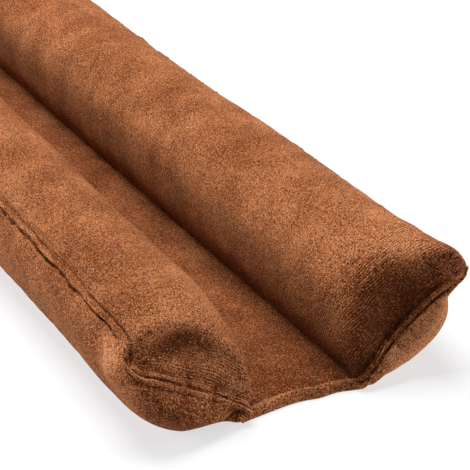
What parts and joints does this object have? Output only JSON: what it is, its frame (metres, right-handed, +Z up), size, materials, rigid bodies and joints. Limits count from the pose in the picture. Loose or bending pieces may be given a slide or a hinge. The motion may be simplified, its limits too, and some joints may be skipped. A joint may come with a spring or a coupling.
{
  "type": "draught excluder",
  "caption": "Door draught excluder: two stuffed plush rolls joined by a flat web that lies on the floor under a door.",
  "frame": {"origin": "middle of the underside, at floor level", "axes": "+Z up, +Y along the rolls, +X from the left roll to the right roll"},
  "size_m": [0.1516, 0.9038, 0.0546],
  "materials": {
    "plush": "short rust-brown pile with a soft sheen"
  },
  "bodies": {
    "root": {"roll_left": "plush", "roll_right": "plush", "web": "plush"}
  },
  "joints": []
}
